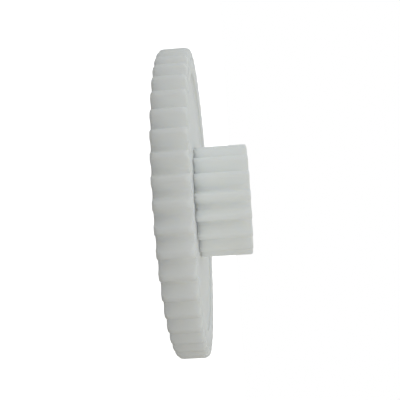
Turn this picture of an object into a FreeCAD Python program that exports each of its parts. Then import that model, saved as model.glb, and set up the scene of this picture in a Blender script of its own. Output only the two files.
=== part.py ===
import FreeCAD, Part

# A compound spur gear that turns on a fixed bearing sleeve.
#
# A toothed wheel and a toothed pinion share one axis. The pinion has a keyed shank that passes
# through the wheel's hub, and a retaining ring in a groove behind the hub locks the two together.
# Two bushes are pressed into the pinion's bore, and they run on a steel sleeve, which a stud in
# the machine clamps end to end.
#
# Frame: +Z runs along the axis from the wheel towards the pinion, and the origin is the centre of
# the sleeve's rear end, which is the lowest point. A tooth gap of each gear is centred on +X.
# Lengths are in millimetres.

import math
import os

import Sketcher
from FreeCAD import Placement, Rotation, Vector

OUTPUT_FOLDER = "parts"

# Driving dimensions: every size that can be set by itself, in mm, degrees or a count.
SIZES = {
    # teeth, shared by both gears
    "tooth_module": 1.0,
    "pressure_angle": 20.0,
    "addendum_modules": 1.0,
    "dedendum_modules": 1.25,
    # wheel
    "wheel_teeth": 50,
    "wheel_width": 5.1,
    "rim_wall": 1.95,
    "web_recess": 0.8,
    "wheel_corner_radius": 0.8,
    "rim_edge_radius": 0.3,
    "web_corner_radius": 0.4,
    # pinion
    "pinion_teeth": 17,
    "pinion_projection": 8.1,
    "pinion_corner_radius": 0.4,
    "shoulder_step": 0.25,
    "bore_chamfer": 0.3,
    # keys between the pinion's shank and the wheel's hub
    "key_count": 6,
    "key_width": 2.4,
    "key_height": 1.2,
    "key_clearance": 0.02,
    # retaining ring and its groove
    "ring_thickness": 1.0,
    "ring_width": 1.6,
    "ring_groove_depth": 0.3,
    "ring_end_play": 0.1,
    "ring_land": 0.9,
    "ring_opening": 4.0,
    "ring_lug_radius": 1.25,
    "ring_lug_hole_radius": 0.6,
    "ring_pocket_clearance": 0.6,
    # bearing
    "spindle_bore_radius": 3.0,
    "sleeve_wall": 1.0,
    "sleeve_chamfer": 0.2,
    "sleeve_end_float": 0.1,
    "running_clearance": 0.03,
    "bush_wall": 1.0,
    "bush_length": 5.0,
    "bush_chamfer": 0.25,
}

SHEET_NAME = "Sizes"


def size(alias):
    """Return the expression that reads one driving dimension."""
    return f"{SHEET_NAME}.{alias}"


# Radii of the teeth, as expressions on the driving dimensions. Each takes the alias of a count.


def pitch_radius(teeth):
    """Return the radius on which two gears roll on each other."""
    return f"({size('tooth_module')} * {size(teeth)} / 2)"


def base_radius(teeth):
    """Return the radius of the circle that the involutes unwind from."""
    return f"({pitch_radius(teeth)} * cos({size('pressure_angle')} * 1 deg))"


def tip_radius(teeth):
    """Return the radius of the tooth tips."""
    return f"({pitch_radius(teeth)} + {size('tooth_module')} * {size('addendum_modules')})"


def root_radius(teeth):
    """Return the radius of the bottoms of the tooth gaps."""
    return f"({pitch_radius(teeth)} - {size('tooth_module')} * {size('dedendum_modules')})"


# Radii of the parts that fit into one another, from the spindle outwards.
SLEEVE_RADIUS = f"({size('spindle_bore_radius')} + {size('sleeve_wall')})"
BUSH_BORE_RADIUS = f"({SLEEVE_RADIUS} + {size('running_clearance')})"
BUSH_RADIUS = f"({BUSH_BORE_RADIUS} + {size('bush_wall')})"
SHANK_RADIUS = f"({root_radius('pinion_teeth')} - {size('shoulder_step')})"
KEY_RADIUS = f"({SHANK_RADIUS} + {size('key_height')})"
GROOVE_RADIUS = f"({SHANK_RADIUS} - {size('ring_groove_depth')})"
RING_RADIUS = f"({GROOVE_RADIUS} + {size('ring_width')})"
LUG_CENTRE_RADIUS = f"({GROOVE_RADIUS} + {size('ring_lug_radius')})"
RING_POCKET_RADIUS = (
    f"({LUG_CENTRE_RADIUS} + {size('ring_lug_radius')} + {size('ring_pocket_clearance')})"
)
RIM_INNER_RADIUS = f"({root_radius('wheel_teeth')} - {size('rim_wall')})"

# The roundings at the top and the foot of the recess's wall never meet.
RECESS_ROUNDING_LIMIT = f"({size('web_recess')} * 0.49)"
RIM_EDGE_RADIUS = f"min({size('rim_edge_radius')}; {RECESS_ROUNDING_LIMIT})"
WEB_CORNER_RADIUS = f"min({size('web_corner_radius')}; {RECESS_ROUNDING_LIMIT})"

# Heights along the axis, from the sleeve's rear end upwards.
WHEEL_REAR = size("sleeve_end_float")
WHEEL_FRONT = f"({WHEEL_REAR} + {size('wheel_width')})"
WEB_REAR = f"({WHEEL_REAR} + {size('web_recess')})"
WEB_FRONT = f"({WHEEL_FRONT} - {size('web_recess')})"
GROOVE_REAR = f"({WHEEL_REAR} + {size('ring_land')})"
RING_REAR = f"({GROOVE_REAR} + {size('ring_end_play')})"
RING_FRONT = f"({RING_REAR} + {size('ring_thickness')})"
PINION_FRONT = f"({WHEEL_FRONT} + {size('pinion_projection')})"
SLEEVE_FRONT = f"({PINION_FRONT} + {size('sleeve_end_float')})"


def make_sheet(doc):
    """Write the driving dimensions into the spreadsheet, one named cell each."""
    sheet = doc.addObject("Spreadsheet::Sheet", SHEET_NAME)
    for row, (alias, value) in enumerate(SIZES.items(), start=1):
        sheet.set(f"A{row}", alias.replace("_", " "))
        sheet.set(f"B{row}", str(value))
        sheet.setAlias(f"B{row}", alias)
    doc.recompute()
    return sheet


def evaluate(item, expression):
    """Return the present value of an expression, for a sketch's first placing."""
    result = item.evalExpression(expression)
    return float(getattr(result, "Value", result))


def new_body(doc, label):
    """Add a body whose label is also its file's name."""
    body = doc.addObject("PartDesign::Body", label)
    body.Label = label
    body.Placement = Placement(Vector(0, 0, 0), Rotation())
    return body


def origin_feature(body, role):
    """Return one of the body's own axes or planes."""
    return next(item for item in body.Origin.OriginFeatures if item.Role == role)


def new_sketch(body, name, plane, height=None):
    """Add a sketch on one of the body's planes, raised along its normal by an expression."""
    sketch = body.newObject("Sketcher::SketchObject", f"{body.Name}_{name}")
    sketch.AttachmentSupport = [(origin_feature(body, plane), "")]
    sketch.MapMode = "FlatFace"
    if height is not None:
        sketch.setExpression(".AttachmentOffset.Base.z", height)
    return sketch


def bind(sketch, constraint, expression):
    """Add a dimension to a sketch and tie it to an expression."""
    index = sketch.addConstraint(constraint)
    sketch.setExpression(f"Constraints[{index}]", expression)


ORIGIN_POINT = (-1, 1)
X_AXIS = -1
START, END, CENTRE = 1, 2, 3


def pin_point(sketch, geometry, end, place):
    """Fix a sketch point at the two expressions of its place."""
    across, along = place
    x_now, y_now = (evaluate(sketch, expression) for expression in place)
    bind(sketch, Sketcher.Constraint("DistanceX", *ORIGIN_POINT, geometry, end, x_now), across)
    bind(sketch, Sketcher.Constraint("DistanceY", *ORIGIN_POINT, geometry, end, y_now), along)


def draw_polygon(sketch, corners):
    """Draw a closed polygon through corners that are given as pairs of expressions."""
    points = [Vector(*(evaluate(sketch, part) for part in corner), 0) for corner in corners]
    lines = [
        sketch.addGeometry(Part.LineSegment(point, points[(number + 1) % len(points)]))
        for number, point in enumerate(points)
    ]
    for number, line in enumerate(lines):
        next_line = lines[(number + 1) % len(lines)]
        sketch.addConstraint(Sketcher.Constraint("Coincident", line, END, next_line, START))
        pin_point(sketch, line, START, corners[number])


def draw_circle(sketch, radius, centre=("0", "0")):
    """Draw a circle from the expressions of its radius and centre."""
    radius_now = evaluate(sketch, radius)
    centre_now = Vector(*(evaluate(sketch, part) for part in centre), 0)
    circle = sketch.addGeometry(Part.Circle(centre_now, Vector(0, 0, 1), radius_now))
    bind(sketch, Sketcher.Constraint("Radius", circle, radius_now), radius)
    if centre == ("0", "0"):
        sketch.addConstraint(Sketcher.Constraint("Coincident", circle, CENTRE, *ORIGIN_POINT))
    else:
        pin_point(sketch, circle, CENTRE, centre)


def turn(body, name, corners):
    """Turn a closed section about the body's Z axis; corners are (radius, height) pairs."""
    section = new_sketch(body, f"{name}_section", "XZ_Plane")
    draw_polygon(section, corners)
    turned = body.newObject("PartDesign::Revolution", f"{body.Name}_{name}")
    turned.Profile = section
    turned.ReferenceAxis = (section, ["V_Axis"])
    turned.Angle = 360
    body.Document.recompute()
    return turned


def pad(body, name, sketch, length):
    """Raise a sketch along +Z by an expression."""
    raised = body.newObject("PartDesign::Pad", f"{body.Name}_{name}")
    raised.Profile = sketch
    raised.setExpression("Length", length)
    body.Document.recompute()
    return raised


def pocket_through(body, name, sketch):
    """Cut a sketch through the whole body, both ways, and check that it cuts."""
    volume_before = body.Shape.Volume
    cut = body.newObject("PartDesign::Pocket", f"{body.Name}_{name}")
    cut.Profile = sketch
    cut.Type = "ThroughAll"
    cut.SideType = "Symmetric"
    body.Document.recompute()
    if not body.Shape.Volume < volume_before:
        raise RuntimeError(f"{cut.Name} removed nothing")
    return cut


def repeat_around(body, name, feature, count):
    """Repeat a feature evenly around the Z axis; count is an expression."""
    pattern = body.newObject("PartDesign::PolarPattern", f"{body.Name}_{name}")
    pattern.Originals = [feature]
    pattern.Axis = (origin_feature(body, "Z_Axis"), [""])
    pattern.Angle = 360
    pattern.setExpression("Occurrences", count)
    body.Tip = pattern
    body.Document.recompute()
    return pattern


def circular_edges(shape, radius, height):
    """Name the edges that run round the Z axis at a given radius and height."""
    tolerance = 1e-4
    names = []
    for number, edge in enumerate(shape.Edges, start=1):
        curve = edge.Curve
        if not isinstance(curve, Part.Circle):
            continue
        on_axis = abs(curve.Center.x) < tolerance and abs(curve.Center.y) < tolerance
        same_size = abs(curve.Radius - radius) < tolerance
        if on_axis and same_size and abs(curve.Center.z - height) < tolerance:
            names.append(f"Edge{number}")
    return names


def dress_edges(body, name, kind, rings, amount):
    """Fillet or chamfer the circular edges at the (radius, height) pairs of expressions."""
    base = body.Tip
    edges = []
    for radius, height in rings:
        found = circular_edges(base.Shape, evaluate(body, radius), evaluate(body, height))
        if not found:
            raise RuntimeError(f"{body.Label}: no edge at radius {radius}, height {height}")
        edges += found
    dressing = body.newObject(f"PartDesign::{kind}", f"{body.Name}_{name}")
    dressing.Base = (base, edges)
    dressing.setExpression("Radius" if kind == "Fillet" else "Size", amount)
    body.Document.recompute()


# Tooth gaps.
#
# A gap is the same on both sides of the X axis. Its flanks are arcs through three points of the
# involute, and one round root, tangent to both flanks, joins them at the root radius.


def involute(angle):
    """Return the involute function of an angle, as an angle."""
    return f"(tan({angle}) * 180 deg / pi - {angle})"


def gap_half_angle(radius, teeth):
    """Return half the angle that a gap spans at a radius; it opens outwards."""
    angle_here = f"acos(min(1; {base_radius(teeth)} / {radius}))"
    angle_at_pitch = f"({size('pressure_angle')} * 1 deg)"
    half_gap_at_pitch = f"90 deg / {size(teeth)}"
    return f"({half_gap_at_pitch} + {involute(angle_here)} - {involute(angle_at_pitch)})"


def flank_point(radius, teeth):
    """Return the place on the gap's upper flank at a radius."""
    half_angle = gap_half_angle(radius, teeth)
    return f"{radius} * cos({half_angle})", f"{radius} * sin({half_angle})"


def mirrored(point):
    """Return a point's image across the X axis."""
    return Vector(point.x, -point.y, 0)


def angle_of(direction):
    """Return the angle of a direction from +X, in radians."""
    return math.atan2(direction.y, direction.x)


def add_arc(sketch, centre, radius, start_angle, end_angle):
    """Add an arc that runs anticlockwise from one angle to another."""
    circle = Part.Circle(centre, Vector(0, 0, 1), radius)
    return sketch.addGeometry(Part.ArcOfCircle(circle, start_angle, end_angle))


def root_circle(flank, root):
    """Return the radius and centre of the round root that a flank's circle allows."""
    offset = flank.Center.x - root
    reach = offset**2 + flank.Center.y**2 - flank.Radius**2
    radius = reach / (2 * (flank.Radius + offset))
    return radius, Vector(root + radius, 0, 0)


def draw_gap(sketch, teeth):
    """Draw one tooth gap, open outwards past the tips."""
    root = root_radius(teeth)
    inner = f"max({root}; {base_radius(teeth)})"
    outer = f"({tip_radius(teeth)} + {size('tooth_module')} / 2)"
    inner_place, pitch_place, outer_place = (
        flank_point(radius, teeth) for radius in (inner, pitch_radius(teeth), outer)
    )
    inner_point, pitch_point, outer_point = (
        Vector(*(evaluate(sketch, part) for part in place), 0)
        for place in (inner_place, pitch_place, outer_place)
    )

    flank = Part.Circle(inner_point, pitch_point, outer_point)
    root_now = evaluate(sketch, root)
    round_radius, round_centre = root_circle(flank, root_now)
    join_angle = angle_of(flank.Center - round_centre)
    join = round_centre + Vector(math.cos(join_angle), math.sin(join_angle), 0) * round_radius
    flank_angles = [angle_of(point - flank.Center) for point in (join, outer_point)]

    upper = add_arc(sketch, flank.Center, flank.Radius, *flank_angles)
    lower = add_arc(sketch, mirrored(flank.Center), flank.Radius, -flank_angles[1], -flank_angles[0])
    bottom = add_arc(sketch, round_centre, round_radius, join_angle, 2 * math.pi - join_angle)
    mouth = sketch.addGeometry(Part.LineSegment(outer_point, mirrored(outer_point)))

    sketch.addConstraint(
        [
            Sketcher.Constraint("Tangent", upper, START, bottom, START),
            Sketcher.Constraint("Tangent", lower, END, bottom, END),
            Sketcher.Constraint("Coincident", upper, END, mouth, START),
            Sketcher.Constraint("Coincident", lower, START, mouth, END),
            Sketcher.Constraint("Symmetric", upper, END, lower, START, X_AXIS),
            Sketcher.Constraint("Equal", upper, lower),
            Sketcher.Constraint("PointOnObject", bottom, CENTRE, X_AXIS),
        ]
    )
    pin_point(sketch, upper, END, outer_place)
    for point, place in ((inner_point, inner_place), (pitch_point, pitch_place)):
        marker = sketch.addGeometry(Part.Point(point), True)
        sketch.addConstraint(Sketcher.Constraint("PointOnObject", marker, START, upper))
        pin_point(sketch, marker, START, place)
    marker = sketch.addGeometry(Part.Point(Vector(root_now, 0, 0)), True)
    sketch.addConstraint(Sketcher.Constraint("PointOnObject", marker, START, X_AXIS))
    sketch.addConstraint(Sketcher.Constraint("PointOnObject", marker, START, bottom))
    bind(sketch, Sketcher.Constraint("DistanceX", *ORIGIN_POINT, marker, START, root_now), root)


def cut_teeth(body, teeth):
    """Cut one gap through the body and repeat it for every tooth."""
    sketch = new_sketch(body, "gap_section", "XY_Plane")
    draw_gap(sketch, teeth)
    body.Document.recompute()
    gap = pocket_through(body, "gap", sketch)
    repeat_around(body, "gaps", gap, size(teeth))


# Keys between the shank and the hub: the same section, with a clearance in the hub.


def key_corners(clearance):
    """Return the corners of one key's section, centred on +X, grown by a clearance."""
    inner = f"({SHANK_RADIUS} - {size('key_height')} / 2)"
    outer = f"({KEY_RADIUS} + {clearance})"
    half_width = f"({size('key_width')} / 2 + {clearance})"
    return [
        (inner, f"-{half_width}"),
        (outer, f"-{half_width}"),
        (outer, half_width),
        (inner, half_width),
    ]


def build_gear_wheel(doc):
    """Build the toothed wheel: a rim, a recessed web and a keyed hub."""
    body = new_body(doc, "gear_wheel")
    tip = tip_radius("wheel_teeth")
    hub_bore = f"({SHANK_RADIUS} + {size('key_clearance')})"
    turn(
        body,
        "blank",
        [
            (hub_bore, RING_FRONT),
            (RING_POCKET_RADIUS, RING_FRONT),
            (RING_POCKET_RADIUS, WEB_REAR),
            (RIM_INNER_RADIUS, WEB_REAR),
            (RIM_INNER_RADIUS, WHEEL_REAR),
            (tip, WHEEL_REAR),
            (tip, WHEEL_FRONT),
            (RIM_INNER_RADIUS, WHEEL_FRONT),
            (RIM_INNER_RADIUS, WEB_FRONT),
            (hub_bore, WEB_FRONT),
        ],
    )
    tooth_corners = [(tip, WHEEL_REAR), (tip, WHEEL_FRONT)]
    rim_edges = [(RIM_INNER_RADIUS, WHEEL_REAR), (RIM_INNER_RADIUS, WHEEL_FRONT)]
    web_corners = [(RIM_INNER_RADIUS, WEB_REAR), (RIM_INNER_RADIUS, WEB_FRONT)]
    dress_edges(body, "tooth_corners", "Fillet", tooth_corners, size("wheel_corner_radius"))
    dress_edges(body, "rim_edges", "Fillet", rim_edges, RIM_EDGE_RADIUS)
    dress_edges(body, "web_corners", "Fillet", web_corners, WEB_CORNER_RADIUS)
    cut_teeth(body, "wheel_teeth")

    keyway_section = new_sketch(body, "keyway_section", "XY_Plane")
    draw_polygon(keyway_section, key_corners(size("key_clearance")))
    keyway = pocket_through(body, "keyway", keyway_section)
    repeat_around(body, "keyways", keyway, size("key_count"))
    return body


def build_pinion(doc):
    """Build the pinion: teeth in front of the wheel, and a keyed, grooved shank behind them."""
    body = new_body(doc, "pinion")
    tip = tip_radius("pinion_teeth")
    turn(
        body,
        "blank",
        [
            (BUSH_RADIUS, WHEEL_REAR),
            (SHANK_RADIUS, WHEEL_REAR),
            (SHANK_RADIUS, GROOVE_REAR),
            (GROOVE_RADIUS, GROOVE_REAR),
            (GROOVE_RADIUS, RING_FRONT),
            (SHANK_RADIUS, RING_FRONT),
            (SHANK_RADIUS, WEB_FRONT),
            (tip, WEB_FRONT),
            (tip, PINION_FRONT),
            (BUSH_RADIUS, PINION_FRONT),
        ],
    )
    bore_mouths = [(BUSH_RADIUS, WHEEL_REAR), (BUSH_RADIUS, PINION_FRONT)]
    dress_edges(body, "bore_mouths", "Chamfer", bore_mouths, size("bore_chamfer"))
    dress_edges(body, "nose", "Fillet", [(tip, PINION_FRONT)], size("pinion_corner_radius"))
    cut_teeth(body, "pinion_teeth")

    key_section = new_sketch(body, "key_section", "XY_Plane", RING_FRONT)
    draw_polygon(key_section, key_corners("0"))
    key = pad(body, "key", key_section, f"{WEB_FRONT} - {RING_FRONT}")
    repeat_around(body, "keys", key, size("key_count"))
    return body


def build_retaining_ring(doc):
    """Build the open ring that sits in the shank's groove, with two drilled lugs."""
    body = new_body(doc, "retaining_ring")
    ring_section = new_sketch(body, "ring_section", "XY_Plane", RING_REAR)
    draw_circle(ring_section, RING_RADIUS)
    draw_circle(ring_section, GROOVE_RADIUS)
    pad(body, "ring", ring_section, size("ring_thickness"))

    half_opening = f"({size('ring_opening')} / 2)"
    opening_section = new_sketch(body, "opening_section", "XY_Plane")
    past_lugs = f"({LUG_CENTRE_RADIUS} + {size('ring_lug_radius')} * 2)"
    draw_polygon(
        opening_section,
        [
            ("0", f"-{half_opening}"),
            (past_lugs, f"-{half_opening}"),
            (past_lugs, half_opening),
            ("0", half_opening),
        ],
    )
    pocket_through(body, "opening", opening_section)

    lug_offset = f"({half_opening} + {size('ring_lug_radius')})"
    lug_reach = f"sqrt({LUG_CENTRE_RADIUS} ^ 2 - {lug_offset} ^ 2)"
    for side, across in (("left", lug_offset), ("right", f"-{lug_offset}")):
        lug_section = new_sketch(body, f"{side}_lug_section", "XY_Plane", RING_REAR)
        draw_circle(lug_section, size("ring_lug_radius"), (lug_reach, across))
        pad(body, f"{side}_lug", lug_section, size("ring_thickness"))
        hole_section = new_sketch(body, f"{side}_hole_section", "XY_Plane")
        draw_circle(hole_section, size("ring_lug_hole_radius"), (lug_reach, across))
        pocket_through(body, f"{side}_hole", hole_section)
    return body


def build_bush(doc, label, rear):
    """Build one plain bush, chamfered at both ends, from its rear height."""
    body = new_body(doc, label)
    front = f"({rear} + {size('bush_length')})"
    turn(
        body,
        "wall",
        [
            (BUSH_BORE_RADIUS, rear),
            (BUSH_RADIUS, rear),
            (BUSH_RADIUS, front),
            (BUSH_BORE_RADIUS, front),
        ],
    )
    rims = [(radius, height) for radius in (BUSH_BORE_RADIUS, BUSH_RADIUS) for height in (rear, front)]
    dress_edges(body, "ends", "Chamfer", rims, size("bush_chamfer"))
    return body


def build_bearing_sleeve(doc):
    """Build the steel sleeve that stands a little proud of the gear at both ends."""
    body = new_body(doc, "bearing_sleeve")
    section = new_sketch(body, "section", "XY_Plane")
    draw_circle(section, SLEEVE_RADIUS)
    draw_circle(section, size("spindle_bore_radius"))
    pad(body, "tube", section, SLEEVE_FRONT)
    rims = [
        (radius, height)
        for radius in (SLEEVE_RADIUS, size("spindle_bore_radius"))
        for height in ("0", SLEEVE_FRONT)
    ]
    dress_edges(body, "ends", "Chamfer", rims, size("sleeve_chamfer"))
    return body


def check_document(doc):
    """Stop if any object failed to recompute."""
    failed = [item.Name for item in doc.Objects if {"Invalid", "Error"} & set(item.State)]
    if failed:
        raise RuntimeError(f"failed objects: {', '.join(failed)}")


def check_piece(body):
    """Stop if a piece is empty, broken or more than one solid."""
    shape = body.Shape
    if shape.isNull() or not shape.isValid() or len(shape.Solids) != 1:
        raise RuntimeError(f"{body.Label}: not one valid solid")


def main():
    doc = FreeCAD.newDocument("compound_spur_gear")
    make_sheet(doc)
    front_bush_rear = f"({PINION_FRONT} - {size('bush_length')})"
    pieces = [
        build_bearing_sleeve(doc),
        build_bush(doc, "rear_bush", WHEEL_REAR),
        build_bush(doc, "front_bush", front_bush_rear),
        build_pinion(doc),
        build_gear_wheel(doc),
        build_retaining_ring(doc),
    ]
    doc.recompute()
    check_document(doc)
    for body in pieces:
        check_piece(body)

    os.makedirs(OUTPUT_FOLDER, exist_ok=True)
    for body in pieces:
        body.Shape.exportStep(os.path.join(OUTPUT_FOLDER, f"{body.Label}.step"))
        print(f"{body.Label}: {body.Shape.Volume:.3f} mm3")


main()
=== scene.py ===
"""Looks of a compound spur gear in natural moulded plastic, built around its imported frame.

The wheel and the pinion are remade as rounded mouldings, the bushes and the sleeve as turned
pieces, and the retaining ring keeps its own shape with a blacked finish. The pieces' sizes are in
millimetres until a mesh is finished, and each finished mesh is scaled to metres. The floor and the
light are placed in metres.
"""

import logging
import math
from collections.abc import Sequence
from dataclasses import dataclass
from enum import Enum

import bmesh
import bpy
from mathutils import Matrix, Vector


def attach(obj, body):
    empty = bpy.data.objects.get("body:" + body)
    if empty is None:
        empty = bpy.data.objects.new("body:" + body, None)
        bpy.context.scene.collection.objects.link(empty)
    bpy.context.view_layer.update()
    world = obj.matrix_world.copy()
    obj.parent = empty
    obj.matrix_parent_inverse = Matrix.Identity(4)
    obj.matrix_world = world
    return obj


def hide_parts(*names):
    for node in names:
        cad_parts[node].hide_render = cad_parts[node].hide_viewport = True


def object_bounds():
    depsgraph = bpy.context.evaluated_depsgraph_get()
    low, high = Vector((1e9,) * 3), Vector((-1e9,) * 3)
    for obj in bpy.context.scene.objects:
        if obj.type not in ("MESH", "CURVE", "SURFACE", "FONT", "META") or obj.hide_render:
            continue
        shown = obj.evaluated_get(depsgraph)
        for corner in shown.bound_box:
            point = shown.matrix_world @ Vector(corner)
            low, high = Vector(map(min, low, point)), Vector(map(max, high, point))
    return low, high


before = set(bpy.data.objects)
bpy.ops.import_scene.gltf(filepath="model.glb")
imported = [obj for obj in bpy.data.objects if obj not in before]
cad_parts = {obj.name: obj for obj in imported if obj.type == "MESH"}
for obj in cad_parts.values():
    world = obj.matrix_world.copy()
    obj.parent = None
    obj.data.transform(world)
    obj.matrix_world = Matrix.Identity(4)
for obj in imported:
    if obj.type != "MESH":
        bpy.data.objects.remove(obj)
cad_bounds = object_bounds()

log = logging.getLogger("compound_gear")

MILLIMETRE = 0.001
WELD_DISTANCE = 1e-4
ARC_STEPS = 3
ARC_HOLD = 0.25

Polar = tuple[float, float]
Point = tuple[float, float, float]
Stops = Sequence[tuple[float, Point]]


class Body(Enum):
    """The rigid bodies that pieces ride on."""

    GEAR = "gear"
    SPINDLE = "spindle"


class Slot(Enum):
    """Names of the record's material slots; a tube is handed one but does not read it."""

    PLASTIC = "natural_plastic"
    BRONZE = "sintered_bronze"
    GROUND_STEEL = "ground_steel"


# ---------------------------------------------------------------------------------- shader helpers


def set_stops(ramp: bpy.types.Node, stops: Stops) -> None:
    """Give a colour ramp its stops.

    Args:
        ramp: The ramp's node, as it is made, with two stops.
        stops: Positions and their colours, in rising order.
    """
    elements = ramp.color_ramp.elements
    for _ in stops[2:]:
        elements.new(0.5)
    for element, (position, colour) in zip(elements, stops):
        element.position = position
        element.color = (*colour, 1.0)


class Shader:
    """A material under construction, with short ways to add and join its nodes."""

    def __init__(self, name: str) -> None:
        """Start a material with one Principled shader.

        Args:
            name: The material's name.
        """
        self.material = bpy.data.materials.new(name)
        self.material.use_nodes = True
        self.tree = self.material.node_tree
        self.surface = self.tree.nodes["Principled BSDF"]
        self.place = self.add("ShaderNodeTexCoord").outputs["Object"]

    def add(self, kind: str, **settings: object) -> bpy.types.Node:
        """Add a node and set its plain properties.

        Args:
            kind: The node's type name.
            **settings: Values for the node's own properties.

        Returns:
            The new node.
        """
        node = self.tree.nodes.new(kind)
        for name, value in settings.items():
            setattr(node, name, value)
        return node

    def join(self, source: bpy.types.NodeSocket, target: bpy.types.NodeSocket) -> None:
        """Link one socket to another."""
        self.tree.links.new(source, target)

    def set_surface(self, **values: object) -> None:
        """Set the shader's own sockets; underscores in a name stand for spaces."""
        for name, value in values.items():
            self.surface.inputs[name.replace("_", " ")].default_value = value

    def stretched(self, scale: Point) -> bpy.types.NodeSocket:
        """Return object coordinates scaled by three factors."""
        mapping = self.add("ShaderNodeMapping")
        mapping.inputs["Scale"].default_value = scale
        self.join(self.place, mapping.inputs["Vector"])
        return mapping.outputs["Vector"]

    def noise(
        self, grain_mm: float, detail: float = 3.0, place: bpy.types.NodeSocket | None = None
    ) -> bpy.types.NodeSocket:
        """Add a noise texture.

        Args:
            grain_mm: The size of one blotch, in millimetres.
            detail: The number of finer octaves.
            place: The coordinates to read, or None for plain object coordinates.

        Returns:
            The texture's value.
        """
        texture = self.add("ShaderNodeTexNoise")
        texture.inputs["Scale"].default_value = 1 / (grain_mm * MILLIMETRE)
        texture.inputs["Detail"].default_value = detail
        self.join(place or self.place, texture.inputs["Vector"])
        return texture.outputs["Fac"]

    def ramp(self, value: bpy.types.NodeSocket, stops: Stops) -> bpy.types.NodeSocket:
        """Turn a value into a colour.

        Args:
            value: The value to read.
            stops: Positions and their colours, in rising order.

        Returns:
            The colour.
        """
        node = self.add("ShaderNodeValToRGB")
        set_stops(node, stops)
        self.join(value, node.inputs["Fac"])
        return node.outputs["Color"]

    def spread(
        self, value: bpy.types.NodeSocket, low: float, high: float
    ) -> bpy.types.NodeSocket:
        """Map a value from 0..1 to low..high."""
        node = self.add("ShaderNodeMapRange")
        node.inputs["To Min"].default_value = low
        node.inputs["To Max"].default_value = high
        self.join(value, node.inputs["Value"])
        return node.outputs["Result"]

    def ring(self, inner_mm: float, outer_mm: float, fade_mm: float = 0.3) -> bpy.types.NodeSocket:
        """Mark what lies between two distances from the Z axis.

        Args:
            inner_mm: The smaller distance, in millimetres.
            outer_mm: The larger distance.
            fade_mm: The width over which the mark fades at each side.

        Returns:
            A value of 1 between the two distances and 0 away from them.
        """
        flat = self.stretched((1.0, 1.0, 0.0))
        distance = self.add("ShaderNodeVectorMath", operation="LENGTH")
        self.join(flat, distance.inputs[0])
        sides = []
        for start, end in ((inner_mm - fade_mm, inner_mm), (outer_mm + fade_mm, outer_mm)):
            side = self.add("ShaderNodeMapRange")
            side.inputs["From Min"].default_value = start * MILLIMETRE
            side.inputs["From Max"].default_value = end * MILLIMETRE
            self.join(distance.outputs["Value"], side.inputs["Value"])
            sides.append(side.outputs["Result"])
        both = self.add("ShaderNodeMath", operation="MULTIPLY")
        self.join(sides[0], both.inputs[0])
        self.join(sides[1], both.inputs[1])
        return both.outputs["Value"]

    def math(
        self,
        operation: str,
        first: bpy.types.NodeSocket,
        second: bpy.types.NodeSocket | float = 0.0,
    ) -> bpy.types.NodeSocket:
        """Work out one sum.

        Args:
            operation: The kind of sum.
            first: The first value.
            second: The second value, a socket or a plain number.

        Returns:
            The result.
        """
        node = self.add("ShaderNodeMath", operation=operation)
        self.join(first, node.inputs[0])
        if isinstance(second, float):
            node.inputs[1].default_value = second
        else:
            self.join(second, node.inputs[1])
        return node.outputs["Value"]

    def bump(
        self,
        height: bpy.types.NodeSocket,
        depth_mm: float,
        under: bpy.types.NodeSocket | None = None,
    ) -> bpy.types.NodeSocket:
        """Add a bump.

        Args:
            height: The height texture, from 0 to 1.
            depth_mm: The depth of the relief, in millimetres.
            under: A normal from another bump that this one lies on.

        Returns:
            The bumped normal.
        """
        node = self.add("ShaderNodeBump")
        node.inputs["Distance"].default_value = depth_mm * MILLIMETRE
        node.inputs["Strength"].default_value = 1.0
        self.join(height, node.inputs["Height"])
        if under is not None:
            self.join(under, node.inputs["Normal"])
        return node.outputs["Normal"]


# ---------------------------------------------------------------------------------------- finishes


@dataclass(frozen=True)
class MouldMark:
    """A low round mark that a mould leaves on a face, repeated evenly round the axis."""

    radius_mm: float
    ring_radius_mm: float
    count: int
    start_degrees: float
    edge_mm: float = 0.12

    def relief(self, shader: Shader) -> bpy.types.NodeSocket:
        """Draw the marks as a height.

        Args:
            shader: The shader to draw in.

        Returns:
            A value of 1 on the marks and 0 away from them.
        """
        parts = shader.add("ShaderNodeSeparateXYZ")
        shader.join(shader.place, parts.inputs["Vector"])
        across, along = parts.outputs["X"], parts.outputs["Y"]
        angle = shader.math("ARCTAN2", along, across)
        turned = shader.math("SUBTRACT", angle, math.radians(self.start_degrees))
        folded = shader.math("PINGPONG", turned, math.pi / self.count)
        direction = shader.add("ShaderNodeCombineXYZ")
        shader.join(shader.math("COSINE", folded), direction.inputs["X"])
        shader.join(shader.math("SINE", folded), direction.inputs["Y"])
        radius = shader.add("ShaderNodeVectorMath", operation="LENGTH")
        shader.join(shader.stretched((1.0, 1.0, 0.0)), radius.inputs[0])
        spot = shader.add("ShaderNodeVectorMath", operation="SCALE")
        shader.join(direction.outputs["Vector"], spot.inputs[0])
        shader.join(radius.outputs["Value"], spot.inputs["Scale"])
        distance = shader.add("ShaderNodeVectorMath", operation="DISTANCE")
        distance.inputs[1].default_value = (self.ring_radius_mm * MILLIMETRE, 0.0, 0.0)
        shader.join(spot.outputs["Vector"], distance.inputs[0])
        edge = shader.add("ShaderNodeMapRange", interpolation_type="SMOOTHSTEP")
        edge.inputs["From Min"].default_value = (self.radius_mm + self.edge_mm) * MILLIMETRE
        edge.inputs["From Max"].default_value = self.radius_mm * MILLIMETRE
        shader.join(distance.outputs["Value"], edge.inputs["Value"])
        return edge.outputs["Result"]


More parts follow.
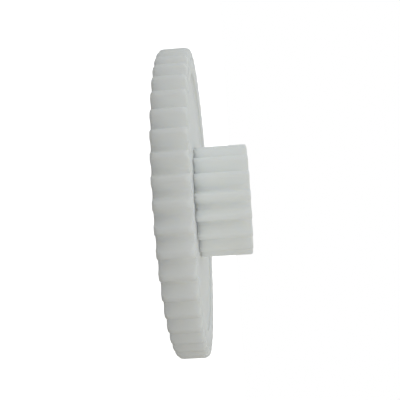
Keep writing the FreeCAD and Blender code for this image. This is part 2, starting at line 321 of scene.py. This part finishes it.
@dataclass(frozen=True)
class NaturalPlastic:
    """Natural acetal as it comes out of a mould: milky, satin, and it lets light in a little."""

    name: str = "natural_acetal"
    body_tone: Point = (0.975, 0.984, 0.976)
    clear_tone: Point = (0.985, 0.990, 0.986)
    cloudy_tone: Point = (0.962, 0.972, 0.963)
    light_depth_mm: float = 4.0
    flow_grain_mm: float = 9.0
    skin_grain_mm: float = 0.35
    skin_depth_mm: float = 0.006
    wave_grain_mm: float = 2.6
    wave_depth_mm: float = 0.02
    smooth: float = 0.38
    rough: float = 0.54
    worked_from_mm: float = 24.3
    worked_to_mm: float = 25.7
    polish: float = -0.14
    mark_depth_mm: float = 0.06
    marks: tuple[MouldMark, ...] = ()

    def build(self) -> bpy.types.Material:
        """Return the finished material."""
        shader = Shader(self.name)
        flow = shader.noise(self.flow_grain_mm, 2.0)
        stops = [(0.30, self.cloudy_tone), (0.52, self.body_tone), (0.72, self.clear_tone)]
        shader.join(shader.ramp(flow, stops), shader.surface.inputs["Base Color"])
        skin = shader.noise(self.skin_grain_mm, 4.0)
        roughness = shader.add("ShaderNodeMath", operation="MULTIPLY_ADD")
        roughness.inputs[1].default_value = self.polish
        shader.join(shader.ring(self.worked_from_mm, self.worked_to_mm), roughness.inputs[0])
        shader.join(shader.spread(skin, self.smooth, self.rough), roughness.inputs[2])
        shader.join(roughness.outputs["Value"], shader.surface.inputs["Roughness"])
        relief = shader.bump(shader.noise(self.wave_grain_mm, 1.0), self.wave_depth_mm)
        for mark in self.marks:
            relief = shader.bump(mark.relief(shader), self.mark_depth_mm, relief)
        skinned = shader.bump(skin, self.skin_depth_mm, relief)
        shader.join(skinned, shader.surface.inputs["Normal"])
        shader.set_surface(
            Subsurface_Weight=1.0,
            Subsurface_Radius=(1.0, 0.95, 0.85),
            Subsurface_Scale=self.light_depth_mm * MILLIMETRE,
            IOR=1.48,
            Specular_IOR_Level=0.35,
        )
        return shader.material


@dataclass(frozen=True)
class SinteredBronze:
    """Porous oiled bronze: a fine speckle of pores and metal, with turned end faces."""

    name: str = "sintered_bronze"
    metal_tone: Point = (0.56, 0.36, 0.17)
    pore_tone: Point = (0.20, 0.12, 0.06)
    pore_mm: float = 0.09
    pore_depth_mm: float = 0.012
    smooth: float = 0.34
    rough: float = 0.62

    def build(self) -> bpy.types.Material:
        """Return the finished material."""
        shader = Shader(self.name)
        pores = shader.noise(self.pore_mm, 5.0)
        stops = [(0.36, self.pore_tone), (0.50, self.metal_tone)]
        shader.join(shader.ramp(pores, stops), shader.surface.inputs["Base Color"])
        roughness = shader.spread(pores, self.rough, self.smooth)
        shader.join(roughness, shader.surface.inputs["Roughness"])
        shader.join(shader.bump(pores, self.pore_depth_mm), shader.surface.inputs["Normal"])
        shader.set_surface(Metallic=1.0)
        return shader.material


@dataclass(frozen=True)
class GroundSteel:
    """Hardened steel, ground round its axis, so that fine lines run round it."""

    name: str = "ground_steel"
    bright_tone: Point = (0.66, 0.67, 0.69)
    dull_tone: Point = (0.47, 0.47, 0.49)
    line_mm: float = 0.05
    line_depth_mm: float = 0.002
    line_stretch: float = 0.02
    smear_mm: float = 1.8
    smooth: float = 0.20
    rough: float = 0.40

    def build(self) -> bpy.types.Material:
        """Return the finished material."""
        shader = Shader(self.name)
        axial = shader.stretched((self.line_stretch, self.line_stretch, 1.0))
        lines = shader.noise(self.line_mm, 2.0, axial)
        stops = [(0.35, self.dull_tone), (0.65, self.bright_tone)]
        shader.join(shader.ramp(lines, stops), shader.surface.inputs["Base Color"])
        roughness = shader.spread(shader.noise(self.smear_mm, 3.0), self.smooth, self.rough)
        shader.join(roughness, shader.surface.inputs["Roughness"])
        shader.join(shader.bump(lines, self.line_depth_mm), shader.surface.inputs["Normal"])
        shader.set_surface(Metallic=1.0)
        return shader.material


@dataclass(frozen=True)
class BlackedSpringSteel:
    """Stamped spring steel, blacked in oil and rubbed brighter in places."""

    name: str = "blacked_spring_steel"
    black_tone: Point = (0.035, 0.036, 0.040)
    rubbed_tone: Point = (0.16, 0.155, 0.15)
    rub_mm: float = 1.1
    grain_mm: float = 0.12
    grain_depth_mm: float = 0.004
    smooth: float = 0.28
    rough: float = 0.48

    def build(self) -> bpy.types.Material:
        """Return the finished material."""
        shader = Shader(self.name)
        rub = shader.noise(self.rub_mm, 5.0)
        stops = [(0.48, self.black_tone), (0.78, self.rubbed_tone)]
        shader.join(shader.ramp(rub, stops), shader.surface.inputs["Base Color"])
        roughness = shader.spread(rub, self.rough, self.smooth)
        shader.join(roughness, shader.surface.inputs["Roughness"])
        grain = shader.bump(shader.noise(self.grain_mm, 3.0), self.grain_depth_mm)
        shader.join(grain, shader.surface.inputs["Normal"])
        shader.set_surface(Metallic=0.85)
        return shader.material


@dataclass(frozen=True)
class StudioPaper:
    """Bright seamless paper under the object."""

    name: str = "studio_paper"
    tone: Point = (0.86, 0.86, 0.86)
    lift: float = 0.85

    def build(self) -> bpy.types.Material:
        """Return the finished material."""
        shader = Shader(self.name)
        shader.set_surface(
            Base_Color=(*self.tone, 1.0),
            Roughness=0.9,
            Specular_IOR_Level=0.0,
            Emission_Color=(1.0, 1.0, 1.0, 1.0),
            Emission_Strength=self.lift,
        )
        return shader.material


# ------------------------------------------------------------------------------- section and teeth


@dataclass(frozen=True)
class Corner:
    """One corner of a section through the axis, with the radius that rounds it."""

    radius: float
    height: float
    rounding: float = 0.0


def arc_between(start: Vector, corner: Vector, end: Vector, rounding: float) -> list[Vector]:
    """Round one corner of a path.

    Args:
        start: The corner before.
        corner: The corner to round.
        end: The corner after.
        rounding: The radius of the arc.

    Returns:
        Points from just before the arc, along it, to just past it.
    """
    inward = (start - corner).normalized()
    onward = (end - corner).normalized()
    half_turn = inward.angle(onward) / 2
    reach = rounding / math.tan(half_turn)
    centre = corner + (inward + onward).normalized() * rounding / math.sin(half_turn)
    first = corner + inward * reach - centre
    last = corner + onward * reach - centre
    arc = [
        centre + first.lerp(last, step / ARC_STEPS).normalized() * rounding
        for step in range(ARC_STEPS + 1)
    ]
    before = corner + inward * reach * (1 + ARC_HOLD)
    after = corner + onward * reach * (1 + ARC_HOLD)
    return [before, *arc, after]


def rounded_path(corners: Sequence[Corner]) -> list[Polar]:
    """Round an open path of corners; its two ends stay sharp.

    Args:
        corners: The corners, from the first end to the last.

    Returns:
        The (radius, height) points of the rounded path.
    """
    spots = [Vector((corner.radius, corner.height)) for corner in corners]
    path = [spots[0]]
    for before, here, after, corner in zip(spots, spots[1:], spots[2:], corners[1:]):
        if corner.rounding > 0:
            path += arc_between(before, here, after, corner.rounding)
        else:
            path.append(here)
    path.append(spots[-1])
    return [(spot.x, spot.y) for spot in path]


@dataclass(frozen=True)
class Circle:
    """A circle in the plane of the teeth."""

    centre: Vector
    radius: float

    def at(self, angle: float) -> Vector:
        """Return the point at an angle."""
        return self.centre + Vector((math.cos(angle), math.sin(angle))) * self.radius

    def angle_to(self, point: Vector) -> float:
        """Return the angle at which a point lies, from 0 to a full turn."""
        offset = point - self.centre
        return math.atan2(offset.y, offset.x) % math.tau

    def sweep(self, start: float, end: float, steps: int) -> list[Vector]:
        """Return points along the arc from one angle to another, both included."""
        return [self.at(start + (end - start) * step / steps) for step in range(steps + 1)]


def circle_through(first: Vector, second: Vector, third: Vector) -> Circle:
    """Return the circle through three points."""
    side, other = second - first, third - first
    cross = 2 * side.cross(other)
    centre = first + Vector(
        (
            (other.y * side.length_squared - side.y * other.length_squared) / cross,
            (side.x * other.length_squared - other.x * side.length_squared) / cross,
        )
    )
    return Circle(centre, (first - centre).length)


@dataclass(frozen=True)
class ToothForm:
    """Involute teeth with a full round root and softly rounded tips; a gap is centred on +X."""

    teeth: int
    module: float = 1.0
    pressure_angle: float = math.radians(20.0)
    addendum: float = 1.0
    dedendum: float = 1.25
    tip_rounding: float = 0.16
    root_steps: int = 4
    flank_steps: int = 3
    tip_steps: int = 3

    @property
    def pitch_radius(self) -> float:
        """The radius on which two gears roll on each other."""
        return self.module * self.teeth / 2

    @property
    def tip_radius(self) -> float:
        """The radius of the tooth tips."""
        return self.pitch_radius + self.module * self.addendum

    @property
    def root_radius(self) -> float:
        """The radius of the bottoms of the gaps."""
        return self.pitch_radius - self.module * self.dedendum

    def flank_spot(self, radius: float) -> Vector:
        """Return the point of the involute flank at a radius."""
        base = self.pitch_radius * math.cos(self.pressure_angle)
        here = math.acos(min(1.0, base / radius))
        opening = math.tan(here) - here - math.tan(self.pressure_angle) + self.pressure_angle
        half_angle = math.pi / 2 / self.teeth + opening
        return Vector((math.cos(half_angle), math.sin(half_angle))) * radius

    def flank(self) -> Circle:
        """Return the arc that stands for the flank."""
        base = self.pitch_radius * math.cos(self.pressure_angle)
        radii = (max(self.root_radius, base), self.pitch_radius, self.tip_radius + self.module / 2)
        return circle_through(*(self.flank_spot(radius) for radius in radii))

    def root(self, flank: Circle, rise: float) -> Circle:
        """Return the round root that touches both flanks, raised a little."""
        bottom = self.root_radius + rise
        offset = flank.centre.x - bottom
        reach = offset**2 + flank.centre.y**2 - flank.radius**2
        radius = reach / (2 * (flank.radius + offset))
        return Circle(Vector((bottom + radius, 0.0)), radius)

    def half_outline(self, tip_radius: float, inset: float, rise: float) -> list[Vector]:
        """Draw half a pitch, from the middle of a gap to the middle of a tooth.

        Args:
            tip_radius: The radius of the tips at this height.
            inset: How far the flank lies inside the full tooth.
            rise: How far the bottom of the gap is raised.

        Returns:
            The outline's points, always as many.
        """
        full_flank = self.flank()
        flank = Circle(full_flank.centre, full_flank.radius - inset)
        root = self.root(flank, rise)
        join = root.at(root.angle_to(flank.centre))

        rounding = self.tip_rounding
        reach = flank.centre.length
        ring = tip_radius - rounding
        cosine = (ring**2 + reach**2 - (flank.radius - rounding) ** 2) / (2 * reach * ring)
        direction = math.atan2(flank.centre.y, flank.centre.x) - math.acos(cosine)
        tip = Circle(Vector((math.cos(direction), math.sin(direction))) * ring, rounding)
        leave_flank = flank.centre + (tip.centre - flank.centre).normalized() * flank.radius

        bottom = root.sweep(math.pi, root.angle_to(join), self.root_steps)
        side = flank.sweep(flank.angle_to(join), flank.angle_to(leave_flank), self.flank_steps)
        corner_start = tip.angle_to(leave_flank) - math.tau
        corner = tip.sweep(corner_start, direction, self.tip_steps)
        middle = math.pi / self.teeth
        land = Vector((math.cos(middle), math.sin(middle))) * tip_radius
        return [*bottom, *side[1:], *corner[1:], corner[-1].lerp(land, 0.5), land]

    def pitch_outline(self, tip_radius: float, inset: float, rise: float) -> list[Vector]:
        """Draw one whole pitch, from tooth middle to tooth middle across a gap."""
        half = self.half_outline(tip_radius, inset, rise)
        mirrored = [Vector((spot.x, -spot.y)) for spot in reversed(half[1:])]
        return [*mirrored, *half]


@dataclass(frozen=True)
class EndRounding:
    """How a toothed part rounds off towards an end face."""

    corner: float
    edge: float
    fill: float = 0.0

    def outline(self, form: ToothForm, depth: float, beyond: float = 0.0) -> tuple[Vector, ...]:
        """Draw one pitch at a depth below the end face.

        Args:
            form: The teeth.
            depth: The depth below the end face.
            beyond: How far inside the rounded edges the outline is drawn, on the face itself.

        Returns:
            The outline of one pitch.
        """
        tip = form.tip_radius - self.drop(self.corner, depth) - beyond
        inset = self.drop(self.edge, depth) + beyond
        rise = self.fill * self.drop(self.corner, depth) / self.corner - beyond
        return tuple(form.pitch_outline(tip, inset, rise))

    def depths(self) -> list[float]:
        """Return the depths below the end face at which the outline is drawn."""
        shares = (0.0, 0.06, 0.22, 0.5, 1.0)
        beyond = (0.45, 0.7, 1.0)
        inner = [self.edge * share for share in shares]
        outer = [self.corner * share for share in beyond if self.corner * share > self.edge * 1.05]
        return inner + outer

    @staticmethod
    def drop(radius: float, depth: float) -> float:
        """Return how far a quarter round lies inside its corner at a depth."""
        if depth >= radius:
            return 0.0
        return radius - math.sqrt(radius**2 - (radius - depth) ** 2)


# ---------------------------------------------------------------------------------- mesh finishing


def finish_mesh(mesh: bmesh.types.BMesh, name: str, material: bpy.types.Material) -> bpy.types.Object:
    """Weld, orient and scale a mesh, and make it an object.

    Args:
        mesh: The mesh in millimetres; it is freed.
        name: The object's name.
        material: Its finish.

    Returns:
        The object, at the origin, unturned and unscaled.
    """
    bmesh.ops.remove_doubles(mesh, verts=mesh.verts, dist=WELD_DISTANCE)
    bmesh.ops.dissolve_degenerate(mesh, edges=mesh.edges, dist=WELD_DISTANCE)
    bmesh.ops.recalc_face_normals(mesh, faces=mesh.faces)
    bmesh.ops.scale(mesh, vec=(MILLIMETRE,) * 3, verts=mesh.verts)
    for face in mesh.faces:
        face.smooth = True
    data = bpy.data.meshes.new(name)
    mesh.to_mesh(data)
    mesh.free()
    data.materials.append(material)
    piece = bpy.data.objects.new(name, data)
    bpy.context.scene.collection.objects.link(piece)
    return piece


def spin_copies(mesh: bmesh.types.BMesh, copies: int) -> None:
    """Repeat everything in a mesh evenly round the Z axis."""
    bmesh.ops.spin(
        mesh,
        geom=[*mesh.verts, *mesh.edges, *mesh.faces],
        cent=(0, 0, 0),
        axis=(0, 0, 1),
        angle=math.tau * (copies - 1) / copies,
        steps=copies - 1,
        use_duplicate=True,
    )


def turned_mesh(section: Sequence[Polar], segments: int) -> bmesh.types.BMesh:
    """Spin a closed section round the Z axis.

    Args:
        section: The (radius, height) points, without repeating the first.
        segments: The number of steps round the axis.

    Returns:
        The mesh, in millimetres.
    """
    mesh = bmesh.new()
    spots = [mesh.verts.new((radius, 0.0, height)) for radius, height in section]
    edges = [mesh.edges.new((spot, after)) for spot, after in zip(spots, spots[1:] + spots[:1])]
    bmesh.ops.spin(
        mesh,
        geom=[*spots, *edges],
        cent=(0, 0, 0),
        axis=(0, 0, 1),
        angle=math.tau,
        steps=segments,
        use_merge=True,
    )
    return mesh


@dataclass(frozen=True)
class Row:
    """One row of a toothed mesh: the outline of one pitch at one height."""

    outline: tuple[Vector, ...]
    height: float

    @staticmethod
    def round(form: ToothForm, columns: int, radius: float, height: float) -> "Row":
        """Make a row on a plain circle, one pitch long, with evenly spaced points."""
        half = math.pi / form.teeth
        angles = [half * (2 * column / (columns - 1) - 1) for column in range(columns)]
        return Row(tuple(Circle(Vector((0.0, 0.0)), radius).at(angle) for angle in angles), height)


def toothed_mesh(rows: Sequence[Row], teeth: int) -> bmesh.types.BMesh:
    """Skin one pitch of a closed section and repeat it for every tooth.

    Args:
        rows: The rows in order round the section; the last one repeats the first.
        teeth: The number of teeth.

    Returns:
        The mesh, in millimetres.
    """
    mesh = bmesh.new()
    columns = len(rows[0].outline)
    bmesh.ops.create_grid(mesh, x_segments=columns - 1, y_segments=len(rows) - 1, size=1.0)
    for spot in mesh.verts:
        column = round((spot.co.x + 1) / 2 * (columns - 1))
        row = rows[round((spot.co.y + 1) / 2 * (len(rows) - 1))]
        spot.co = (*row.outline[column], row.height)
    spin_copies(mesh, teeth)
    return mesh


# ------------------------------------------------------------------------------------------ pieces


def seat(piece: bpy.types.Object, body: Body, node: str) -> bpy.types.Object:
    """Give a piece its body and the node that it stands for.

    Args:
        piece: The finished piece.
        body: The body that it moves with.
        node: The node of the frame that it replaces.

    Returns:
        The same piece.
    """
    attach(piece, body.value)
    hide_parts(node)
    log.info("%s: %d faces, stands for %s", piece.name, len(piece.data.polygons), node)
    return piece


@dataclass(frozen=True)
class GearWheel:
    """The large wheel: fifty teeth on a rim, a web let in on both sides, and a bore."""

    form: ToothForm = ToothForm(teeth=50, tip_rounding=0.34)
    ends: EndRounding = EndRounding(corner=0.85, edge=0.2, fill=0.45)
    rear: float = 0.1
    front: float = 5.2
    rim_inner_radius: float = 21.8
    rim_edge: float = 0.3
    web_rear: float = 0.9
    web_front: float = 4.4
    web_corner: float = 0.39
    pocket_radius: float = 9.8
    pocket_floor: float = 2.1
    bore_radius: float = 7.02
    pocket_edge: float = 0.15
    bore_edge: float = 0.08
    face_support: float = 0.09
    face_start: float = 0.55

    def tooth_rows(self) -> list[Row]:
        """Draw the rows of the teeth, from the rear end face to the front one."""
        form, ends = self.form, self.ends
        rear_rows = [Row(ends.outline(form, 0.0, self.face_support), self.rear)]
        rear_rows += [Row(ends.outline(form, depth), self.rear + depth) for depth in ends.depths()]
        turn_over = self.rear + self.front
        front_rows = [Row(row.outline, turn_over - row.height) for row in reversed(rear_rows)]
        return [*rear_rows, *front_rows]

    def inner_section(self) -> list[Polar]:
        """Return the section from the front of the rim, round the web and bore, to its rear."""
        start = self.form.root_radius - self.face_start
        return rounded_path(
            [
                Corner(start, self.front),
                Corner(self.rim_inner_radius, self.front, self.rim_edge),
                Corner(self.rim_inner_radius, self.web_front, self.web_corner),
                Corner(self.bore_radius, self.web_front, self.bore_edge),
                Corner(self.bore_radius, self.pocket_floor, self.bore_edge),
                Corner(self.pocket_radius, self.pocket_floor, self.pocket_edge),
                Corner(self.pocket_radius, self.web_rear, self.pocket_edge),
                Corner(self.rim_inner_radius, self.web_rear, self.web_corner),
                Corner(self.rim_inner_radius, self.rear, self.rim_edge),
                Corner(start, self.rear),
            ]
        )

    def build(self, plastic: bpy.types.Material) -> bpy.types.Object:
        """Build the wheel.

        Args:
            plastic: Its finish.

        Returns:
            The finished piece.
        """
        teeth = self.tooth_rows()
        columns = len(teeth[0].outline)
        inner = [Row.round(self.form, columns, *spot) for spot in self.inner_section()]
        mesh = toothed_mesh([*teeth, *inner, teeth[0]], self.form.teeth)
        return seat(
            finish_mesh(mesh, "toothed_wheel", plastic), Body.GEAR, "gear_wheel"
        )


@dataclass(frozen=True)
class Pinion:
    """The small gear: seventeen teeth over a grooved shank, bored for the bushes."""

    form: ToothForm = ToothForm(teeth=17, tip_rounding=0.28, flank_steps=5)
    nose: EndRounding = EndRounding(corner=0.4, edge=0.2)
    rear: float = 0.1
    shoulder: float = 4.4
    front: float = 13.3
    shank_radius: float = 7.0
    groove_radius: float = 6.7
    groove_rear: float = 1.0
    groove_front: float = 2.1
    bore_radius: float = 5.03
    mouth: float = 0.3
    edge: float = 0.06
    shank_edge: float = 0.12
    groove_corner: float = 0.05
    face_support: float = 0.07
    face_start: float = 0.5
    shoulder_support: float = 0.3

    def tooth_rows(self) -> list[Row]:
        """Draw the rows of the teeth, from the shoulder to the nose."""
        form, nose = self.form, self.nose
        full = nose.outline(form, nose.corner)
        rows = [Row(full, self.shoulder), Row(full, self.shoulder + self.shoulder_support)]
        depths = reversed(nose.depths())
        rows += [Row(nose.outline(form, depth), self.front - depth) for depth in depths]
        return [*rows, Row(nose.outline(form, 0.0, self.face_support), self.front)]

    def inner_section(self) -> list[Polar]:
        """Return the section from the nose, through the bore and round the shank, to the teeth."""
        return rounded_path(
            [
                Corner(self.form.root_radius - self.face_start, self.front),
                Corner(self.bore_radius + self.mouth, self.front, self.edge),
                Corner(self.bore_radius, self.front - self.mouth, self.edge),
                Corner(self.bore_radius, self.rear + self.mouth, self.edge),
                Corner(self.bore_radius + self.mouth, self.rear, self.edge),
                Corner(self.shank_radius, self.rear, self.shank_edge),
                Corner(self.shank_radius, self.groove_rear, self.edge),
                Corner(self.groove_radius, self.groove_rear, self.groove_corner),
                Corner(self.groove_radius, self.groove_front, self.groove_corner),
                Corner(self.shank_radius, self.groove_front, self.edge),
                Corner(self.shank_radius, self.shoulder),
            ]
        )

    def build(self, plastic: bpy.types.Material) -> bpy.types.Object:
        """Build the pinion.

        Args:
            plastic: Its finish.

        Returns:
            The finished piece.
        """
        teeth = self.tooth_rows()
        columns = len(teeth[0].outline)
        inner = [Row.round(self.form, columns, *spot) for spot in self.inner_section()]
        mesh = toothed_mesh([*teeth, *inner, teeth[0]], self.form.teeth)
        return seat(finish_mesh(mesh, "toothed_pinion", plastic), Body.GEAR, "pinion")


@dataclass(frozen=True)
class Tube:
    """A turned tube with rounded ends."""

    name: str
    node: str
    inner_radius: float
    outer_radius: float
    rear: float
    front: float
    bevel: float
    edge: float = 0.05
    segments: int = 128

    def build(
        self, material: bpy.types.Material, body: Body, slot: Slot
    ) -> bpy.types.Object:
        """Build the tube.

        Args:
            material: Its finish.
            body: The body that it moves with.
            slot: Not used.

        Returns:
            The finished piece.
        """
        inner, outer, bevel, edge = self.inner_radius, self.outer_radius, self.bevel, self.edge
        middle = (self.rear + self.front) / 2
        section = rounded_path(
            [
                Corner(outer, middle),
                Corner(outer, self.front - bevel, edge),
                Corner(outer - bevel, self.front, edge),
                Corner(inner + bevel, self.front, edge),
                Corner(inner, self.front - bevel, edge),
                Corner(inner, self.rear + bevel, edge),
                Corner(inner + bevel, self.rear, edge),
                Corner(outer - bevel, self.rear, edge),
                Corner(outer, self.rear + bevel, edge),
                Corner(outer, middle),
            ]
        )
        mesh = turned_mesh(section[:-1], self.segments)
        piece = finish_mesh(mesh, self.name, material)
        piece.visible_diffuse = False
        return seat(piece, body, self.node)


@dataclass(frozen=True)
class Bearing:
    """The two bronze bushes and the steel sleeve that they turn on."""

    rear_bush: Tube = Tube("oiled_bush_rear", "rear_bush", 4.03, 5.03, 0.1, 5.1, 0.25)
    front_bush: Tube = Tube("oiled_bush_front", "front_bush", 4.03, 5.03, 8.3, 13.3, 0.25)
    sleeve: Tube = Tube("ground_sleeve", "bearing_sleeve", 3.0, 4.0, 0.0, 13.4, 0.2)

    def build(self, bronze: bpy.types.Material, steel: bpy.types.Material) -> None:
        """Build the bushes and the sleeve.

        Args:
            bronze: The finish of the bushes.
            steel: The finish of the sleeve.
        """
        self.rear_bush.build(bronze, Body.GEAR, Slot.BRONZE)
        self.front_bush.build(bronze, Body.GEAR, Slot.BRONZE)
        self.sleeve.build(steel, Body.SPINDLE, Slot.GROUND_STEEL)


@dataclass(frozen=True)
class RetainingRing:
    """The ring on the pinion's shank, which keeps the shape that the frame gives it."""

    node: str = "retaining_ring"

    def dress(self, steel: bpy.types.Material) -> None:
        """Give the ring its finish.

        Args:
            steel: The finish.
        """
        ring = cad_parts[self.node]
        for holder in ring.material_slots:
            holder.material = steel
        log.info("%s: keeps its shape, with a new finish", ring.name)


# ------------------------------------------------------------------------------------------ studio


@dataclass(frozen=True)
class SoftLight:
    """One round soft light that faces the object, with its place and width in metres."""

    name: str
    place: Point
    width: float
    power: float
    colour: Point

    def build(self, aim: Vector) -> None:
        """Hang the light, facing a point.

        Args:
            aim: The point to face, in metres.
        """
        lamp = bpy.data.lights.new(self.name, "AREA")
        lamp.shape = "DISK"
        lamp.size = self.width
        lamp.energy = self.power
        lamp.color = self.colour
        holder = bpy.data.objects.new(self.name, lamp)
        holder.location = self.place
        holder.rotation_mode = "QUATERNION"
        holder.rotation_quaternion = (aim - holder.location).to_track_quat("-Z", "Y")
        bpy.context.scene.collection.objects.link(holder)


@dataclass(frozen=True)
class Viewpoint:
    """Where the camera stands, in millimetres, how it is turned, and the metres it sees."""

    place: Point = (-0.392, -93.129, 10.345)
    yaw: float = 0.0599
    roll: float = 0.0657
    lens: float = 48.293
    sensor_width: float = 36.0
    nearest: float = 0.002
    farthest: float = 50.0

    def build(self) -> None:
        """Make the camera, with the axis of the gear lying across its view."""
        ahead = Vector((0.0, math.cos(self.yaw), -math.sin(self.yaw)))
        along = Vector((0.0, math.sin(self.yaw), math.cos(self.yaw)))
        over = Vector((-1.0, 0.0, 0.0))
        right = along * math.cos(self.roll) - over * math.sin(self.roll)
        up = over * math.cos(self.roll) + along * math.sin(self.roll)
        lens = bpy.data.cameras.new("camera")
        lens.lens = self.lens
        lens.sensor_width = self.sensor_width
        lens.clip_start = self.nearest
        lens.clip_end = self.farthest
        camera = bpy.data.objects.new("camera", lens)
        turn = Matrix((right, up, -ahead)).transposed().to_4x4()
        camera.matrix_world = Matrix.Translation(Vector(self.place) * MILLIMETRE) @ turn
        bpy.context.scene.collection.objects.link(camera)
        bpy.context.scene.camera = camera


@dataclass(frozen=True)
class Studio:
    """White surroundings, a pale floor and a soft light, with the floor's size in metres."""

    floor_size: float = 20.0
    light_bounces: int = 24
    paper: StudioPaper = StudioPaper()
    lean: Point = (-0.30, -0.15, 0.94)
    sky: tuple[tuple[float, Point], ...] = (
        (0.0, (0.10, 0.10, 0.10)),
        (0.38, (0.44, 0.44, 0.43)),
        (0.60, (0.570, 0.582, 0.580)),
        (1.0, (0.665, 0.695, 0.700)),
    )
    warm_side: Point = (1.0, 0.0, 0.0)
    tint: tuple[tuple[float, Point], ...] = (
        (0.0, (1.02, 1.04, 1.05)),
        (1.0, (0.95, 0.93, 0.86)),
    )
    lights: tuple[SoftLight, ...] = (
        SoftLight("soft_key", (-0.22, -0.30, 0.34), 0.60, 0.03, (0.96, 0.99, 1.0)),
    )

    def build_floor(self) -> None:
        """Lay the floor just under the object."""
        mesh = bmesh.new()
        bmesh.ops.create_grid(mesh, x_segments=1, y_segments=1, size=self.floor_size / 2)
        data = bpy.data.meshes.new("floor")
        mesh.to_mesh(data)
        mesh.free()
        data.materials.append(self.paper.build())
        floor = bpy.data.objects.new("floor", data)
        floor.visible_diffuse = False
        floor.visible_glossy = False
        floor.visible_transmission = False
        bpy.context.scene.collection.objects.link(floor)

    @staticmethod
    def band(tree: bpy.types.NodeTree, lean: Point, stops: Stops) -> bpy.types.NodeSocket:
        """Colour the surroundings from one side to the other.

        Args:
            tree: The node tree of the surroundings.
            lean: The direction of the last stop.
            stops: Positions and colours, from the side opposite to the direction.

        Returns:
            The colour.
        """
        place = tree.nodes.new("ShaderNodeTexCoord")
        dot = tree.nodes.new("ShaderNodeVectorMath")
        dot.operation = "DOT_PRODUCT"
        dot.inputs[1].default_value = Vector(lean).normalized()
        level = tree.nodes.new("ShaderNodeMapRange")
        level.inputs["From Min"].default_value = -1.0
        tone = tree.nodes.new("ShaderNodeValToRGB")
        set_stops(tone, stops)
        tree.links.new(place.outputs["Generated"], dot.inputs[0])
        tree.links.new(dot.outputs["Value"], level.inputs["Value"])
        tree.links.new(level.outputs["Result"], tone.inputs["Fac"])
        return tone.outputs["Color"]

    def build_sky(self) -> None:
        """Make surroundings that look white and light the object from soft gradients."""
        world = bpy.data.worlds.new("surroundings")
        world.use_nodes = True
        bpy.context.scene.world = world
        tree = world.node_tree
        light = tree.nodes["Background"]
        tinted = tree.nodes.new("ShaderNodeVectorMath")
        tinted.operation = "MULTIPLY"
        white = tree.nodes.new("ShaderNodeBackground")
        white.inputs["Color"].default_value = (1.0, 1.0, 1.0, 1.0)
        path = tree.nodes.new("ShaderNodeLightPath")
        mix = tree.nodes.new("ShaderNodeMixShader")
        tree.links.new(self.band(tree, self.lean, self.sky), tinted.inputs[0])
        tree.links.new(self.band(tree, self.warm_side, self.tint), tinted.inputs[1])
        tree.links.new(tinted.outputs["Vector"], light.inputs["Color"])
        tree.links.new(path.outputs["Is Camera Ray"], mix.inputs["Fac"])
        tree.links.new(light.outputs["Background"], mix.inputs[1])
        tree.links.new(white.outputs["Background"], mix.inputs[2])
        tree.links.new(mix.outputs["Shader"], tree.nodes["World Output"].inputs["Surface"])

    def build(self) -> None:
        """Build the floor, the surroundings and the lights."""
        self.build_floor()
        self.build_sky()
        low, high = cad_bounds
        for light in self.lights:
            light.build((low + high) / 2)
        scene = bpy.context.scene
        scene.view_settings.view_transform = "Standard"
        scene.view_settings.look = "None"
        scene.cycles.max_bounces = self.light_bounces
        scene.cycles.diffuse_bounces = self.light_bounces


def main() -> None:
    """Build the studio and every piece of the gear."""
    logging.basicConfig(level=logging.INFO, format="%(name)s: %(message)s")
    Viewpoint().build()
    Studio().build()
    ejector_marks = MouldMark(1.25, 17.4, 5, 18.0)
    gate_stubs = MouldMark(0.45, 13.2, 3, 54.0)
    wheel_plastic = NaturalPlastic("wheel_acetal", marks=(ejector_marks, gate_stubs))
    GearWheel().build(wheel_plastic.build())
    pinion_plastic = NaturalPlastic(
        "pinion_acetal", light_depth_mm=3.0, worked_from_mm=7.9, worked_to_mm=9.2
    )
    Pinion().build(pinion_plastic.build())
    Bearing().build(SinteredBronze().build(), GroundSteel().build())
    RetainingRing().dress(BlackedSpringSteel().build())


if __name__ == "__main__":
    main()
